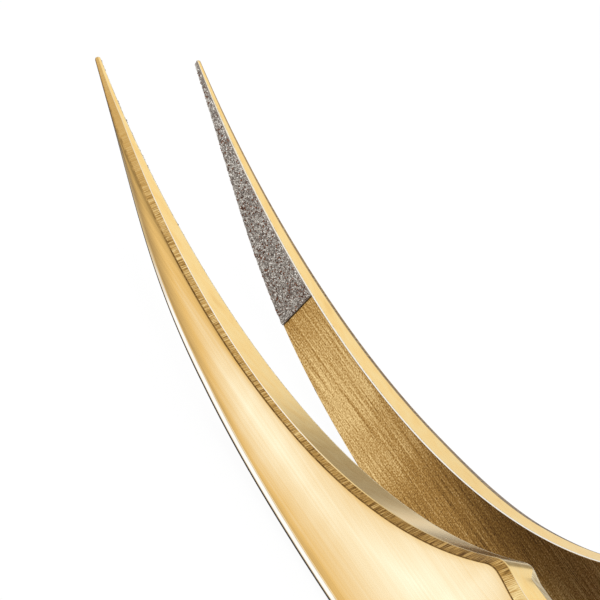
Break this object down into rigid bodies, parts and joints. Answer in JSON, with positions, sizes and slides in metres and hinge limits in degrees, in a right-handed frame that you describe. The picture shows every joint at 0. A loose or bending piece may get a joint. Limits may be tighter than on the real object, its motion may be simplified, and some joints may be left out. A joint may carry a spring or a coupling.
{
  "type": "precision tweezers",
  "caption": "Curved needle-point tweezers: gold-coated steel arms welded at the tail, sprung open, with abrasive grit on the inner jaw faces.",
  "frame": {"origin": "under the middle of the tongs, on the plane of the arms' lower edges", "axes": "+X from the welded tail to the points, +Y the way the left arm opens, +Z from the lower edges to the upper edges, the way the points curve"},
  "size_m": [0.125, 0.0114, 0.0093],
  "materials": {
    "arm_steel": "gold titanium nitride over fine brushed steel, polished edges",
    "spacer_steel": "gold titanium nitride over ground steel",
    "jaw_grit": "nickel-bonded abrasive grit"
  },
  "bodies": {
    "tail": {"tail_spacer": "spacer_steel"},
    "left_side": {"left_arm": "arm_steel", "left_grit": "jaw_grit"},
    "right_side": {"right_arm": "arm_steel", "right_grit": "jaw_grit"}
  },
  "joints": [
    {"name": "left_flex", "type": "hinge", "parent": "tail", "child": "left_side", "pos_m": [-0.0505, 0.00075, 0.0035], "axis": [0, 0, -1], "range_deg": [0, 1.62], "stiffness_Nm_per_rad": 5},
    {"name": "right_flex", "type": "hinge", "parent": "tail", "child": "right_side", "pos_m": [-0.0505, -0.00075, 0.0035], "axis": [0, 0, 1], "range_deg": [0, 1.62], "stiffness_Nm_per_rad": 5}
  ],
  "couplings": [
    {"joint": "right_flex", "follows": "left_flex", "ratio": 1}
  ]
}
